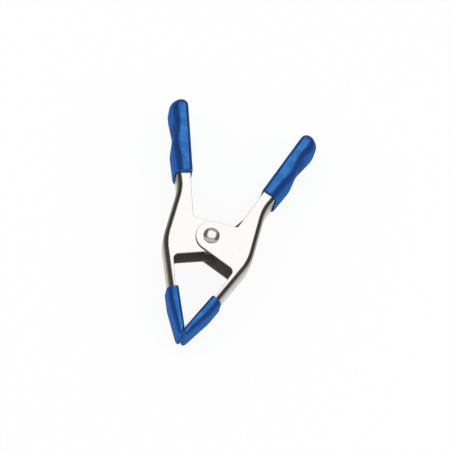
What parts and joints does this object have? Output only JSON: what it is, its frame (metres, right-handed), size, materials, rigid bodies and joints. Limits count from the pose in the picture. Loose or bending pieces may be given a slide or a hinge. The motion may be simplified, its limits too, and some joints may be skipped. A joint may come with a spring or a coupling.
{
  "type": "spring clamp",
  "caption": "Hand spring clamp: two steel channel levers on a rivet, closed by a torsion spring, with vinyl-sleeved handles and jaws.",
  "frame": {"origin": "centre of the rivet tail's flat end, on the rivet's axis and on the plane that the clamp lies on", "axes": "+Z along the rivet's axis, from the tail to the head; +Y from the jaws to the handles; +X towards the outer, right-hand lever"},
  "size_m": [0.1036, 0.164, 0.0251],
  "materials": {
    "nickel_plate": "bright nickel plate",
    "rivet_steel": "plated, polished by the rivet set",
    "spring_steel": "dark oiled spring wire",
    "blue_vinyl": "semi-gloss soft vinyl"
  },
  "bodies": {
    "left_side": {"left_lever": "nickel_plate", "left_grip": "blue_vinyl", "left_jaw_tip": "blue_vinyl", "pivot_rivet": "rivet_steel", "torsion_spring": "spring_steel"},
    "right_side": {"right_lever": "nickel_plate", "right_grip": "blue_vinyl", "right_jaw_tip": "blue_vinyl"}
  },
  "joints": [
    {"name": "pivot", "type": "hinge", "parent": "left_side", "child": "right_side", "pos_m": [0, 0, 0.01225], "axis": [0, 0, 1], "range_deg": [0, 45], "stiffness_Nm_per_rad": 2.1, "springref_deg": -21.77, "deforming": ["torsion_spring"]}
  ]
}
